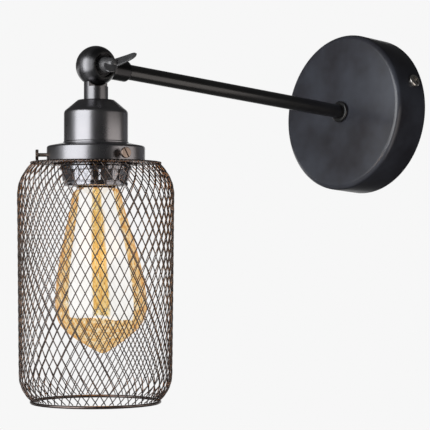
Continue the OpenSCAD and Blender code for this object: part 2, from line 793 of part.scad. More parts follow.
// Outward direction square to that outline
function cage_out(v) =
    let (e = 0.004, d = unit(cage_side(min(v + e, 1)) - cage_side(max(v - e, 0))))
    [d[1], -d[0]];

// A point of the mesh at column i, row j, on its outer (depth 0) or inner (depth mesh_t) face
function mesh_point(i, j, depth) =
    let (v = j / mesh_rows, p = cage_side(v) - depth * cage_out(v), a = 180 * i / mesh_count)
    [p[0] * cos(a), p[0] * sin(a), -p[1]];

// Number of the knot at column i, row j of a panel. Knots stand where both are even or both are odd.
function knot(i, j) =
    floor(j / 2) * (panel_cols + 1) + (j % 2 == 0 ? i / 2 : panel_cols / 2 + 1 + (i - 1) / 2);

// Corners of the diamond hole round column i, row j, in turn. At a panel's side it is half a diamond.
function hole_corners(i, j) =
    i == 0 ? [[i, j - 1], [i + 1, j], [i, j + 1]]
        : i == panel_cols ? [[i, j + 1], [i - 1, j], [i, j - 1]]
            : [[i - 1, j], [i, j - 1], [i + 1, j], [i, j + 1]];

// Columns of the holes in row j
function hole_columns(j) = j % 2 == 1 ? [0:2:panel_cols] : [1:2:panel_cols];

// Numbers of hole points before row j
function hole_offset(j) =
    floor((j - 1) / 2) * (4 * panel_cols + 2) + (j % 2 == 0 ? 2 * panel_cols + 2 : 0);

// Number of the first point of the hole at column i, row j
function hole_start(i, j) = hole_offset(j) + (j % 2 == 0 ? 2 * (i - 1) : i == 0 ? 0 : 2 * i - 1);

// One panel of the mesh is one closed body: knots joined by strands round diamond holes
module mesh_panel(first) {
    half_w = PI * cage_r / mesh_count;
    half_h = cage_h / mesh_rows;
    side_gap = gap / 2 / half_w;
    shrink = 1 - strand_w / 2 * sqrt(1 / (half_w * half_w) + 1 / (half_h * half_h));
    knots = knot(panel_cols, mesh_rows) + 1;
    holes = hole_offset(mesh_rows);
    function place(i, j, depth) =
        mesh_point(first + (i == 0 ? side_gap : i == panel_cols ? panel_cols - side_gap : i), j, depth);
    knot_points = [for (depth = [0, mesh_t]) for (j = [0:mesh_rows]) for (i = [j % 2:2:panel_cols])
        place(i, j, depth)];
    hole_points = [for (depth = [0, mesh_t]) for (j = [1:mesh_rows - 1]) for (i = hole_columns(j))
        for (c = hole_corners(i, j)) let (p = [i, j] + shrink * (c - [i, j])) place(p[0], p[1], depth)];
    faces = [for (j = [1:mesh_rows - 1]) for (i = hole_columns(j))
        let (corners = [for (c = hole_corners(i, j)) knot(c[0], c[1])],
             count = len(corners),
             hole = 2 * knots + hole_start(i, j),
             a = corners[0],
             b = corners[count - 1],
             q = hole + count - 1)
        each concat(
            [for (c = [0:count == 4 ? 3 : 1]) let (d = (c + 1) % count) each
                ring_faces(corners[c], corners[d], hole + c, hole + d, knots, holes)],
            count == 4 ? [] : [[hole, a, a + knots], [hole, a + knots, hole + holes],
                [b, q, q + holes], [b, q + holes, b + knots]])];
    rims = [for (i = [0:2:panel_cols - 2])
        let (a = knot(i, 0), b = knot(i + 2, 0), c = knot(i + 1, 1),
             p = knot(i, mesh_rows), q = knot(i + 2, mesh_rows), m = knot(i + 1, mesh_rows - 1))
        each [[a, c, b], [a + knots, b + knots, c + knots], [a, b, a + knots], [b, b + knots, a + knots],
            [p, q, m], [p + knots, m + knots, q + knots], [p, p + knots, q], [q, p + knots, q + knots]]];
    polyhedron(concat(knot_points, hole_points), concat(faces, rims), convexity = 20);
}

// Faces of the strand from knot a to knot b with the hole's points p and q: outside, inside and edge
function ring_faces(a, b, p, q, knots, holes) =
    [[a, p, b], [b, p, q], [a + knots, b + knots, p + holes], [b + knots, q + holes, p + holes],
        [p, p + holes, q], [q, p + holes, q + holes]];

module cage_mesh() {
    color("#1f1f21") in_head() for (first = [0:panel_cols:2 * mesh_count - 1]) mesh_panel(first);
}

module cage_top_plate() {
    seat = cage_top - 0.05;
    outline = [[neck_r - neck_wall, neck_top], [neck_r, neck_top], [neck_r, seat - top_plate_t],
        [top_plate_r - 1, seat - top_plate_t], [top_plate_r, seat - top_plate_t + 1], [top_plate_r, seat],
        [neck_r - neck_wall, seat]];
    color("#242426") turned_in_head(outline);
}

module cage_ring() {
    color("#242426") in_head() translate([0, 0, -cage_side(1)[1] - ring_wire_r]) rotate_extrude()
        translate([ring_r - mesh_t / 2, 0]) circle(r = ring_wire_r, $fn = 24);
}

// Leans the children about the cap's lower end as the glass does
module leaned_glass() {
    in_head() translate([0, 0, -glass_seat]) rotate([0, 0, bulb_lean_turn]) rotate([0, -bulb_lean, 0])
        translate([0, 0, glass_seat]) children();
}

// The bulb's outline at t from 0 at the neck to 1 at the tip, grown by g
function bulb_side(t, g) =
    let (neck = cap_low + glass_neck_h,
         cone = [[glass_neck_r, neck], [glass_neck_r + 2.4, neck + 26], [bulb_r, neck + 52],
             [bulb_r, bulb_wide]],
         cone_part = 0.6,
         turn = 90 * (t - cone_part) / (1 - cone_part))
    t < cone_part ? bezier(cone, t / cone_part) + [g, 0]
        : [(bulb_r + g) * cos(turn), bulb_wide + (bulb_low - bulb_wide + g) * sin(turn)];

module bulb_glass() {
    steps = 24;
    base_r = cap_r - cap_wall - 2 * gap;
    outer = [for (i = [0:steps]) bulb_side(i / steps, 0)];
    inner = [for (i = [steps:-1:0]) bulb_side(i / steps, -glass_wall)];
    in_r = base_r - glass_wall;
    outline = concat([[base_r, glass_seat], [base_r, cap_low + 0.4], [base_r + 1.6, cap_low + 1.6]],
        outer, inner, [[base_r + 0.8, cap_low + 1.8], [in_r, cap_low + 0.4], [in_r, glass_seat]]);
    color("orange", 0.4) leaned_glass() mirror([0, 0, 1]) rotate_extrude() polygon(outline);
}

module bulb_cap() {
    ridge = 0.25;
    pitch = 3.6;
    count = 4;
    start = cap_top + 2;
    body = [for (i = [0:count - 1]) let (level = start + pitch * i)
        each [[cap_r - ridge, level + 0.2], [cap_r, level + 1], [cap_r - ridge, level + 1.8]]];
    outline = concat([[4, cap_top], [cap_r - 2.4, cap_top]], body, [[cap_r - ridge, cap_low - 2],
        [cap_r + 0.6, cap_low], [cap_r - 0.1, cap_low], [cap_r - cap_wall - ridge, cap_low - 1.6],
        [cap_r - cap_wall - ridge, start], [cap_r - 3, cap_top + 0.6], [4, cap_top + 0.6]]);
    color("gold") turned_in_head(outline);
}

module bulb_insulator() {
    tip = bulb_top + 0.8;
    color("black") turned_in_head([[2.2, tip], [4.6, tip], [7.5, cap_top], [2.2, cap_top]]);
}

module bulb_contact() {
    plug_r = 2.15;
    color("silver") turned_in_head([[0, bulb_top], [3, bulb_top], [4.4, bulb_top + 0.8],
        [plug_r, bulb_top + 0.8], [plug_r, cap_top], [0, cap_top]]);
}

module bulb_stem() {
    foot_r = cap_r - cap_wall - 2 * gap - glass_wall - fit;
    outline = [[0, glass_seat], [foot_r, glass_seat], [foot_r - 3, cap_low + 2],
        [post_r + 1.6, cap_low + 8], [post_r + 1.2, filament_top - 1], [post_r, filament_top + 1],
        [post_r, filament_low + 4], [0, filament_low + 4]];
    color("lightcyan", 0.5) leaned_glass() mirror([0, 0, 1]) rotate_extrude() polygon(outline);
}

module filament_hooks() {
    color("silver") leaned_glass() for (level = [filament_top + 3, filament_low])
        for (i = [0:hook_count - 1]) rotate([0, 0, 360 * (i + 0.5) / hook_count])
            translate([post_r + 0.02, 0, -level]) rotate([0, 90, 0])
                cylinder(r = hook_r, h = filament_r - post_r - filament_wire_r - fit, $fn = 16);
}

// One wire up and down round the post
module filament() {
    top = filament_top + 3;
    legs = 2 * filament_turns;
    turn = 360 / legs;
    bend = 2;
    route = [for (k = [0:legs - 1])
        let (down = k % 2 == 0, z0 = down ? top : filament_low, z1 = down ? filament_low : top)
        each [[k * turn, z0 + (down ? 1 : -1) * bend], [k * turn, z1 - (down ? 1 : -1) * bend],
            if (k < legs - 1) [(k + 0.5) * turn, z1]]];
    points = [for (p = route) [filament_r * cos(p[0]), filament_r * sin(p[0]), -p[1]]];
    color("orange") leaned_glass() swept_tube(points, filament_wire_r, 6, [1, 0.02, 0]);
}

wall_bracket();
canopy();
side_screws();
terminal_block();
terminal_screws();
earth_screw();
arm_washer();
arm_lock_nut();
arm_collar();
arm_tube();
arm_leads();
knuckle_arm_half();
knuckle_bolt();
flat_washer();
spring_washer();
wing_nut();
knuckle_head_half();
stem_lock_nut();
socket_cup();
gallery();
holder_dome();
holder_skirt();
ceramic_insert();
screw_shell();
holder_contact();
holder_screws();
shade_ring();
head_leads();
fitter_screw_1();
fitter_screw_2();
fitter_screw_3();
cage_top_plate();
cage_mesh();
cage_ring();
bulb_glass();
bulb_cap();
bulb_insulator();
bulb_contact();
bulb_stem();
filament_hooks();
filament();
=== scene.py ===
import json
import math

import bpy
import bmesh
from mathutils import Matrix, Vector

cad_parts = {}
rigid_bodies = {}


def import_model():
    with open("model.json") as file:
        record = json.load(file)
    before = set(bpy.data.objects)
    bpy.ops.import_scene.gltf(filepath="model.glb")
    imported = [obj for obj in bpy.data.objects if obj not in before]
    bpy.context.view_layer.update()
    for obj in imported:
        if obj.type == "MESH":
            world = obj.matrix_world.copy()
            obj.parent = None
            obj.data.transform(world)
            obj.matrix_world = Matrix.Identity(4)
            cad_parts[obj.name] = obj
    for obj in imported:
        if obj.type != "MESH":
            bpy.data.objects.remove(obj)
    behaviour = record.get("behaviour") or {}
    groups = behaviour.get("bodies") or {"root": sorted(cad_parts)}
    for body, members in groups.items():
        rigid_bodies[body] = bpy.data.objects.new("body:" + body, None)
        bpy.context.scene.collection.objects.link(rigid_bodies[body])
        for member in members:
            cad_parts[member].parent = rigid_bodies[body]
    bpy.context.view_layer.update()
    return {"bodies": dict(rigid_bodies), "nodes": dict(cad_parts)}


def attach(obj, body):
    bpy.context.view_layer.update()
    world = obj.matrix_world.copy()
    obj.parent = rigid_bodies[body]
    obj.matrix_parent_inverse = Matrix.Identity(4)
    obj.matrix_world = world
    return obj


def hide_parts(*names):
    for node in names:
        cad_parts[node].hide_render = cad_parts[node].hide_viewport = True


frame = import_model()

nodes = frame["nodes"]
MM = 0.001

# ---------------------------------------------------------------- camera
# solved from the outlines in the photograph; axes and place are in the row frame, in metres
IMAGE_PX, FOCAL_PX, SENSOR_MM = 430, 1721.1, 36
right = Vector((0.66338, 0.74588, 0.05990))
up = Vector((0.01272, -0.09128, 0.99574))
back = right.cross(up).normalized()
up = back.cross(right)
cam = bpy.data.objects.new("camera", bpy.data.cameras.new("camera"))
bpy.context.scene.collection.objects.link(cam)
cam.data.sensor_width = SENSOR_MM
cam.data.lens = FOCAL_PX / IMAGE_PX * SENSOR_MM
cam.data.clip_start, cam.data.clip_end = 0.05, 200
cam.matrix_world = Matrix((right, up, back)).transposed().to_4x4()
cam.location = Vector((0.95617, -0.99997, -0.18337))
bpy.context.scene.camera = cam
bpy.context.scene.view_settings.view_transform = "Standard"

# ---------------------------------------------------------------- the lamp's own axes
# HEAD takes lamp axes (origin in the knuckle, z up the lamp's axis) to the row frame.
# BULB does the same for the bulb, which stands a little crooked in its socket.
KNUCKLE = Vector((0, -0.276, 0))
LEAN = math.radians(4.6)
HEAD = Matrix.Translation(KNUCKLE) @ Matrix.Rotation(LEAN, 4, "X")
GLASS_SEAT = 81.5        # mm below the knuckle
BULB_LEAN = math.radians(2.5)
BULB_TURN = math.radians(48)
BULB = (HEAD @ Matrix.Translation((0, 0, -GLASS_SEAT * MM)) @ Matrix.Rotation(BULB_TURN, 4, "Z")
        @ Matrix.Rotation(-BULB_LEAN, 4, "Y") @ Matrix.Translation((0, 0, GLASS_SEAT * MM)))


# ---------------------------------------------------------------- mesh makers
def piece(name, verts, faces, at=None):
    """A smooth-shaded object from points in mm, taken to the row frame by the matrix at."""
    mesh = bpy.data.meshes.new(name)
    mesh.from_pydata([Vector(v) * MM for v in verts], [], faces)
    if at is not None:
        mesh.transform(at)
    bm = bmesh.new()
    bm.from_mesh(mesh)
    bmesh.ops.recalc_face_normals(bm, faces=bm.faces)
    bm.to_mesh(mesh)
    bm.free()
    for p in mesh.polygons:
        p.use_smooth = True
    o = bpy.data.objects.new(name, mesh)
    bpy.context.scene.collection.objects.link(o)
    return o


def sharpen(o, degrees):
    """Marks edges sharper than an angle, so that smooth shading stops there."""
    bm = bmesh.new()
    bm.from_mesh(o.data)
    for e in bm.edges:
        if len(e.link_faces) == 2 and e.calc_face_angle(0) > math.radians(degrees):
            e.smooth = False
    bm.to_mesh(o.data)
    bm.free()
    return o


def absorb(bm, part):
    """Adds a piece's mesh to bm, and removes the piece."""
    bm.from_mesh(part.data)
    bpy.data.objects.remove(part)


def turned(name, outline, at, steps, sharp, closed=True):
    """Turns an outline of (radius, distance down) about the axis. A point of radius 0 stays one point."""
    verts, rows = [], []
    for r, s in outline:
        if r < 1e-6:
            rows.append([len(verts)] * steps)
            verts.append((0, 0, -s))
        else:
            rows.append(list(range(len(verts), len(verts) + steps)))
            angles = [2 * math.pi * k / steps for k in range(steps)]
            verts += [(r * math.cos(a), r * math.sin(a), -s) for a in angles]
    faces = []
    pairs = list(zip(rows, rows[1:])) + ([(rows[-1], rows[0])] if closed else [])
    for a, b in pairs:
        for k in range(steps):
            m = (k + 1) % steps
            f = []
            for v in (a[k], a[m], b[m], b[k]):
                if v not in f:
                    f.append(v)
            if len(f) > 2:
                faces.append(f)
    return sharpen(piece(name, verts, faces, at), sharp)


def arc(cx, cy, r, a0, a1, n):
    """Points along an arc from angle a0 to a1, in degrees."""
    return [(cx + r * math.cos(math.radians(a0 + (a1 - a0) * i / n)),
             cy + r * math.sin(math.radians(a0 + (a1 - a0) * i / n))) for i in range(n + 1)]


def tube(verts, faces, path, widths, sides, start):
    """Adds a tube with closed ends along path (mm). widths gives the half widths along the side that start
    points to and across it, either once or for each point."""
    n, base = len(path), len(verts)
    side = start
    for i, p in enumerate(path):
        d = (path[min(i + 1, n - 1)] - path[max(i - 1, 0)]).normalized()
        side = (side - side.dot(d) * d).normalized()
        other = d.cross(side)
        w, h = widths(i) if callable(widths) else widths
        for k in range(sides):
            a = 2 * math.pi * k / sides
            verts.append(p + side * (w * math.cos(a)) + other * (h * math.sin(a)))
    for i in range(n - 1):
        a, b = base + i * sides, base + (i + 1) * sides
        for k in range(sides):
            m = (k + 1) % sides
            faces.append([a + k, a + m, b + m, b + k])
    faces.append([base + k for k in range(sides - 1, -1, -1)])
    faces.append([base + (n - 1) * sides + k for k in range(sides)])


# ---------------------------------------------------------------- materials
def material(name):
    m = bpy.data.materials.new(name)
    m.use_nodes = True
    return m, m.node_tree, m.node_tree.nodes["Principled BSDF"]


def link(nt, a, b):
    nt.links.new(a, b)


def noise(nt, scale, detail, rough=0.5, stretch=None):
    """Noise over the object's own coordinates; scale counts per metre."""
    c = nt.nodes.new("ShaderNodeTexCoord")
    t = nt.nodes.new("ShaderNodeTexNoise")
    t.inputs["Scale"].default_value = scale
    t.inputs["Detail"].default_value = detail
    t.inputs["Roughness"].default_value = rough
    source = c.outputs["Object"]
    if stretch:
        m = nt.nodes.new("ShaderNodeMapping")
        m.inputs["Scale"].default_value = stretch
        link(nt, source, m.inputs["Vector"])
        source = m.outputs["Vector"]
    link(nt, source, t.inputs["Vector"])
    return t.outputs["Fac"]


def remap(nt, value, a, b, lo, hi):
    """Takes a..b to lo..hi, and holds there outside it."""
    m = nt.nodes.new("ShaderNodeMapRange")
    m.inputs["From Min"].default_value = a
    m.inputs["From Max"].default_value = b
    m.inputs["To Min"].default_value = lo
    m.inputs["To Max"].default_value = hi
    link(nt, value, m.inputs["Value"])
    return m.outputs["Result"]


def ramp(nt, value, stops):
    r = nt.nodes.new("ShaderNodeValToRGB")
    while len(r.color_ramp.elements) < len(stops):
        r.color_ramp.elements.new(0.5)
    for e, (at, colour) in zip(r.color_ramp.elements, stops):
        e.position = at
        e.color = (*colour, 1)
    link(nt, value, r.inputs["Fac"])
    return r.outputs["Color"]


def math_node(nt, operation, a, b):
    m = nt.nodes.new("ShaderNodeMath")
    m.operation = operation
    for i, v in enumerate((a, b)):
        if isinstance(v, (int, float)):
            m.inputs[i].default_value = v
        else:
            link(nt, v, m.inputs[i])
    return m.outputs["Value"]


def vector_math(nt, operation, a, b=None, output="Vector"):
    """b is an output to link, a plain value, or nothing."""
    m = nt.nodes.new("ShaderNodeVectorMath")
    m.operation = operation
    link(nt, a, m.inputs[0])
    second = m.inputs["Scale"] if operation == "SCALE" else m.inputs[1]
    if isinstance(b, bpy.types.NodeSocket):
        link(nt, b, second)
    elif b is not None:
        second.default_value = b
    return m.outputs[output]


def object_axis(nt, side):
    """The coordinate along one axis of the row frame, in metres."""
    c = nt.nodes.new("ShaderNodeTexCoord")
    x = nt.nodes.new("ShaderNodeSeparateXYZ")
    link(nt, c.outputs["Object"], x.inputs["Vector"])
    return x.outputs[side]


def bump(nt, bsdf, height, distance, strength):
    b = nt.nodes.new("ShaderNodeBump")
    b.inputs["Distance"].default_value = distance
    b.inputs["Strength"].default_value = strength
    link(nt, height, b.inputs["Height"])
    link(nt, b.outputs["Normal"], bsdf.inputs["Normal"])


PLAIN_SPECULAR = 0.5     # the shader's own default
MOST_NOISE = (0.3, 0.7)  # nearly all of a noise's values lie between these


def coated(name, dark, light, metallic, rough, grain=1500, grain_depth=0.00003, mottle=28, rough_spread=0.06,
           coat=0.0, coat_rough=0.25, darker=()):
    """A painted or moulded surface: a broad mottle from dark to light, and a fine grain.
    darker = (axis, from, to, what is left beyond), in metres, is painted shade: the colour darkens along the
    axis, and under a coat the gloss fades there too."""
    m, nt, b = material(name)
    broad = noise(nt, mottle, 3, 0.55)
    fine = noise(nt, grain, 2, 0.6)
    colour = ramp(nt, broad, list(zip(MOST_NOISE, (dark, light))))
    # painted shade: along each listed axis the colour, and under a coat the gloss, fall towards what is left
    # beyond
    for side, near, far, left in darker:
        painted_shade_keep = remap(nt, object_axis(nt, side), near, far, 1, left)
        colour = vector_math(nt, "SCALE", colour, painted_shade_keep)
        if coat:
            gloss = math_node(nt, "MULTIPLY", painted_shade_keep, painted_shade_keep)
            link(nt, math_node(nt, "MULTIPLY", gloss, coat), b.inputs["Coat Weight"])
            link(nt, math_node(nt, "MULTIPLY", gloss, PLAIN_SPECULAR), b.inputs["Specular IOR Level"])
    link(nt, colour, b.inputs["Base Color"])
    b.inputs["Metallic"].default_value = metallic
    link(nt, remap(nt, broad, *MOST_NOISE, rough - rough_spread, rough + rough_spread), b.inputs["Roughness"])
    b.inputs["Coat Weight"].default_value = coat
    b.inputs["Coat Roughness"].default_value = coat_rough
    bump(nt, b, fine, grain_depth, 0.6)
    return m


def plated(name, colour, rough, stretch=(1, 1, 1)):
    """Bare or plated metal with fine tool marks, and faint stains a quarter darker."""
    m, nt, b = material(name)
    marks = noise(nt, 900, 3, 0.6, stretch)
    stain = noise(nt, 160, 3, 0.5)
    shade = tuple(c * 0.76 for c in colour)
    link(nt, ramp(nt, stain, [(0.3, shade), (0.65, colour)]), b.inputs["Base Color"])
    b.inputs["Metallic"].default_value = 1
    link(nt, remap(nt, marks, *MOST_NOISE, rough - 0.07, rough + 0.09), b.inputs["Roughness"])
    bump(nt, b, marks, 0.00002, 0.5)
    return m


def knuckle_paint(name, darker=()):
    return coated(name, (0.20, 0.198, 0.207), (0.23, 0.227, 0.235), 1.0, 0.30,
                  grain=1600, grain_depth=0.000015, mottle=60, rough_spread=0.015, darker=darker)


# painted shade: the plate's rim is painted darker and less glossy than its face; the collar's half is painted
# darker towards the wall and towards the washer
PLATE = coated("satin_charcoal", (0.020, 0.018, 0.024), (0.060, 0.067, 0.088), 0.0, 0.42,
               grain=1400, mottle=26, rough_spread=0.05, coat=1.0, coat_rough=0.17,
               darker=[("Y", -0.0293, -0.0275, 0.55)])
ARM = coated("satin_black", (0.005, 0.0048, 0.005), (0.008, 0.0078, 0.008), 0.0, 0.30,
             grain=1700, mottle=40, rough_spread=0.03, coat=0.6, coat_rough=0.22)
GUNMETAL = coated("satin_gunmetal", (0.26, 0.257, 0.27), (0.30, 0.293, 0.305), 1.0, 0.28,
                  grain=1500, grain_depth=0.000015, mottle=60, rough_spread=0.015)
BALL = knuckle_paint("satin_black_metal")
# the knuckle's paint with painted shade on the arm's half, darker towards the wall and towards the washer
KNUCKLE_PAINTED_SHADE = knuckle_paint("satin_black_collar_painted_shade", [("Y", -0.2685, -0.2615, 0.34), ("X", 0.0050, 0.0080, 0.36)])
BLUED = coated("blackened_washer", (0.025, 0.025, 0.027), (0.05, 0.049, 0.05), 1.0, 0.3,
               grain=1200, mottle=220)
LIP = coated("black_fibre", (0.006, 0.006, 0.006), (0.010, 0.010, 0.010), 0.0, 0.55, grain=1100, mottle=200)
WIRE = coated("coated_wire", (0.11, 0.088, 0.08), (0.19, 0.155, 0.142), 1.0, 0.32, grain=2500,
              mottle=200, rough_spread=0.08)
OXIDE = coated("black_oxide", (0.13, 0.13, 0.135), (0.19, 0.188, 0.19), 0.55, 0.34, grain=1200, mottle=220,
               rough_spread=0.08)
PHENOLIC = coated("moulded_phenolic", (0.012, 0.012, 0.013), (0.02, 0.02, 0.021), 0.0, 0.2, grain=900,
                  grain_depth=0.00001, mottle=90, rough_spread=0.05, coat=0.5)
GLOSSY = coated("metallised_phenolic", (0.28, 0.28, 0.30), (0.38, 0.378, 0.40), 1.0, 0.13, grain=900,
                grain_depth=0.00001, mottle=90, rough_spread=0.04)
NICKEL = plated("nickel_plate", (0.62, 0.59, 0.55), 0.25)
BRONZE = plated("bronze_plate", (0.36, 0.28, 0.235), 0.33, (1, 1, 6))
ZINC = plated("zinc_plate", (0.6, 0.61, 0.62), 0.35)
BRASS = plated("brass", (0.78, 0.57, 0.25), 0.28, (1, 1, 4))
SOLDER = plated("tinned_wire", (0.6, 0.6, 0.6), 0.3)
PLASTIC = coated("white_polyamide", (0.72, 0.70, 0.64), (0.8, 0.78, 0.72), 0.0, 0.5, grain=700, mottle=120)
CERAMIC = coated("steatite", (0.76, 0.74, 0.69), (0.84, 0.83, 0.79), 0.0, 0.6, grain=1100, mottle=200)
SHEATH = coated("silicone_sheath", (0.20, 0.075, 0.03), (0.27, 0.11, 0.05), 0.0, 0.55, grain=900, mottle=150)
VITRITE = coated("black_glass", (0.01, 0.01, 0.012), (0.02, 0.02, 0.022), 0.0, 0.12, grain=600, mottle=150)


def level_normal(nt, axis):
    """The surface's normal without its part along the glass's axis."""
    normal = nt.nodes.new("ShaderNodeTexCoord").outputs["Normal"]
    level = vector_math(nt, "SUBTRACT", normal, vector_math(nt, "PROJECT", normal, axis))
    out = nt.nodes.new("ShaderNodeVectorTransform")
    out.vector_type, out.convert_from, out.convert_to = "NORMAL", "OBJECT", "WORLD"
    link(nt, vector_math(nt, "NORMALIZE", level), out.inputs["Vector"])
    return out.outputs["Vector"]


def clear_glass(name, tint, painted_reflection_share, body, painted_glare, low=None, axis=None):
    """Thin blown glass: what shows through takes the tint, and veil says how much of its own surface shows.
    That surface glows white with the strength glare, which is painted light: where veil is high and the tint
    pale, it paints a reflection of the lamps.
    Both are ramps over the turn away from the eye. low = (level, level, amount) deepens them further down,
    in metres, where the painted reflection ends, and axis is the line about which that turn is measured."""
    m, nt, b = material(name)
    w = nt.nodes.new("ShaderNodeLayerWeight")
    w.inputs["Blend"].default_value = 0.5
    if axis is not None:
        link(nt, level_normal(nt, axis), w.inputs["Normal"])
    wave = noise(nt, 70, 3, 0.6)
    turn = math_node(nt, "ADD", w.outputs["Facing"], remap(nt, wave, *MOST_NOISE, -0.004, 0.004))
    if low:
        z = math_node(nt, "ADD", object_axis(nt, "Z"), remap(nt, wave, *MOST_NOISE, -0.001, 0.001))
        turn = math_node(nt, "MAXIMUM", turn, remap(nt, z, low[0], low[1], 0, low[2]))
    # the tint is stained unevenly: a streak raises it to a power
    stain = remap(nt, noise(nt, 420, 4, 0.7, (1, 1, 0.55)), 0.42, 0.6, 0.4, 2.5)
    clear = nt.nodes.new("ShaderNodeBsdfTransparent")
    link(nt, vector_math(nt, "POWER", ramp(nt, turn, tint), stain), clear.inputs["Color"])
    link(nt, ramp(nt, turn, [(at, tuple(g * k for k in body)) for at, g in ((0.2, 1.0), (0.9, 0.6))]),
         b.inputs["Base Color"])
    b.inputs["Roughness"].default_value = 0.04
    # painted reflection: the surface's own white glow stands in for the lamps mirrored in the glass
    b.inputs["Emission Color"].default_value = (1.0, 0.995, 0.985, 1)
    b.inputs["Emission Strength"].default_value = painted_glare
    bump(nt, b, wave, 0.00006, 0.5)
    mix = nt.nodes.new("ShaderNodeMixShader")
    link(nt, ramp(nt, turn, [(at, (v, v, v)) for at, v in painted_reflection_share]), mix.inputs["Fac"])
    link(nt, clear.outputs["BSDF"], mix.inputs[1])
    link(nt, b.outputs["BSDF"], mix.inputs[2])
    link(nt, mix.outputs["Shader"], nt.nodes["Material Output"].inputs["Surface"])
    return m


# the pale tint lets the white behind show through where the painted reflection lies
AMBER_MIDDLE, AMBER_UNDER_PAINTED_REFLECTION = (0.97, 0.87, 0.62), (0.99, 0.98, 0.95)
AMBER = clear_glass("amber_glass",
                    tint=[(0.0, AMBER_MIDDLE), (0.014, AMBER_MIDDLE), (0.022, AMBER_UNDER_PAINTED_REFLECTION),
                          (0.285, AMBER_UNDER_PAINTED_REFLECTION), (0.305, (0.93, 0.79, 0.55)), (0.6, (0.92, 0.76, 0.51)),
                          (0.97, (0.86, 0.65, 0.38))],
                    painted_reflection_share=[(0.0, 0.05), (0.014, 0.05), (0.022, 0.72), (0.285, 0.72), (0.305, 0.04),
                          (0.9, 0.06), (1.0, 0.2)],
                    body=(0.03, 0.025, 0.015), painted_glare=0.9, low=(-0.1745, -0.1765, 0.34),
                    axis=BULB.to_3x3() @ Vector((0, 0, 1)))
# painted glow: the stem's glass glows faintly white by its own emission
STEM = clear_glass("stem_glass_painted_glow",
                   tint=[(0.0, (1.0, 0.97, 0.86)), (0.35, (0.98, 0.92, 0.74)), (0.9, (0.92, 0.76, 0.48))],
                   painted_reflection_share=[(0.0, 0.1), (1.0, 0.3)], body=(0.1, 0.07, 0.03), painted_glare=0.5)


def glow(name, colour, strength):
    """A lit wire, nearly black by its own colour."""
    m, nt, b = material(name)
    uneven = [(at, tuple(c * part for c in colour)) for at, part in ((0.35, 0.03), (0.65, 0.05))]
    link(nt, ramp(nt, noise(nt, 700, 2, 0.5), uneven), b.inputs["Base Color"])
    b.inputs["Roughness"].default_value = 0.4
    b.inputs["Emission Color"].default_value = (*colour, 1)
    b.inputs["Emission Strength"].default_value = strength
    return m


FILAMENT = glow("hot_filament", (0.92, 0.62, 0.20), 0.80)


def dress(o, mat):
    o.data.materials.clear()
    o.data.materials.append(mat)
    return o


def smooth_cad(o):
    """Shades a carried-over node smoothly, except at edges of 30 degrees and more."""
    weld = o.modifiers.new("weld", "WELD")
    weld.merge_threshold = 1e-6
    split = o.modifiers.new("split", "EDGE_SPLIT")
    split.split_angle = math.radians(30)
    for p in o.data.polygons:
        p.use_smooth = True


FINISHES = (
    (PLATE, "canopy"),
    (ARM, "arm_collar arm_tube"),
    (KNUCKLE_PAINTED_SHADE, "knuckle_arm_half"),
    (BALL, "knuckle_head_half"),
    (GUNMETAL, "socket_cup gallery"),
    (OXIDE, "wing_nut"),
    (BLUED, "flat_washer"),
    (WIRE, "cage_top_plate cage_ring cage_mesh"),
    (PHENOLIC, "holder_dome holder_skirt"),
    (GLOSSY, "shade_ring"),
    (NICKEL, "side_screws"),
    (BRONZE, "fitter_screw_1 fitter_screw_2 fitter_screw_3"),
    (ZINC, "wall_bracket arm_washer arm_lock_nut spring_washer knuckle_bolt stem_lock_nut"),
    (BRASS, "terminal_screws earth_screw screw_shell holder_contact holder_screws bulb_cap"),
    (SOLDER, "bulb_contact filament_hooks"),
    (PLASTIC, "terminal_block"),
    (CERAMIC, "ceramic_insert"),
    (SHEATH, "arm_leads head_leads"),
    (VITRITE, "bulb_insulator"),
    (STEM, "bulb_stem"),
    (FILAMENT, "filament"),
    (AMBER, "bulb_glass"),
)
for mat, names in FINISHES:
    for name in names.split():
        dress(nodes[name], mat)
        smooth_cad(nodes[name])

# ---------------------------------------------------------------- the cage's mesh
# mm in lamp axes: heights are distances down from the knuckle
CAGE_TOP, CAGE_LOW, SHOULDER_H = 68.3, 233.6, 22.0
CAGE_R, CAGE_LOW_R, TOP_R, RING_R, EDGE_R = 54.9, 53.5, 45.4, 45.2, 24.0


def bezier(p, t):
    """The point at t on a cubic curve with four control points."""
    u = 1 - t
    return tuple(u ** 3 * a + 3 * t * u * u * b + 3 * t * t * u * c + t ** 3 * d for a, b, c, d in zip(*p))


def cage_outline(n=60):
    """The mesh's outer skin as (radius, distance down): shoulder, tapering wall, lower edge."""
    shoulder = [(TOP_R, CAGE_TOP), (TOP_R + 6.1, CAGE_TOP + 7.3), (CAGE_R - 0.2, CAGE_TOP + 12.8),
                (CAGE_R, CAGE_TOP + SHOULDER_H)]
    pts = [bezier(shoulder, i / n) for i in range(n)]
    cx = CAGE_LOW_R - EDGE_R
    turn = math.degrees(math.acos((RING_R - cx) / EDGE_R))
    cy = CAGE_LOW - EDGE_R * math.sin(math.radians(turn))
    wall, wall_h = CAGE_TOP + SHOULDER_H, cy - CAGE_TOP - SHOULDER_H
    pts += [(CAGE_R + (CAGE_LOW_R - CAGE_R) * i / n, wall + wall_h * i / n) for i in range(n)]
    pts += arc(cx, cy, EDGE_R, 0, turn, n)
    return pts


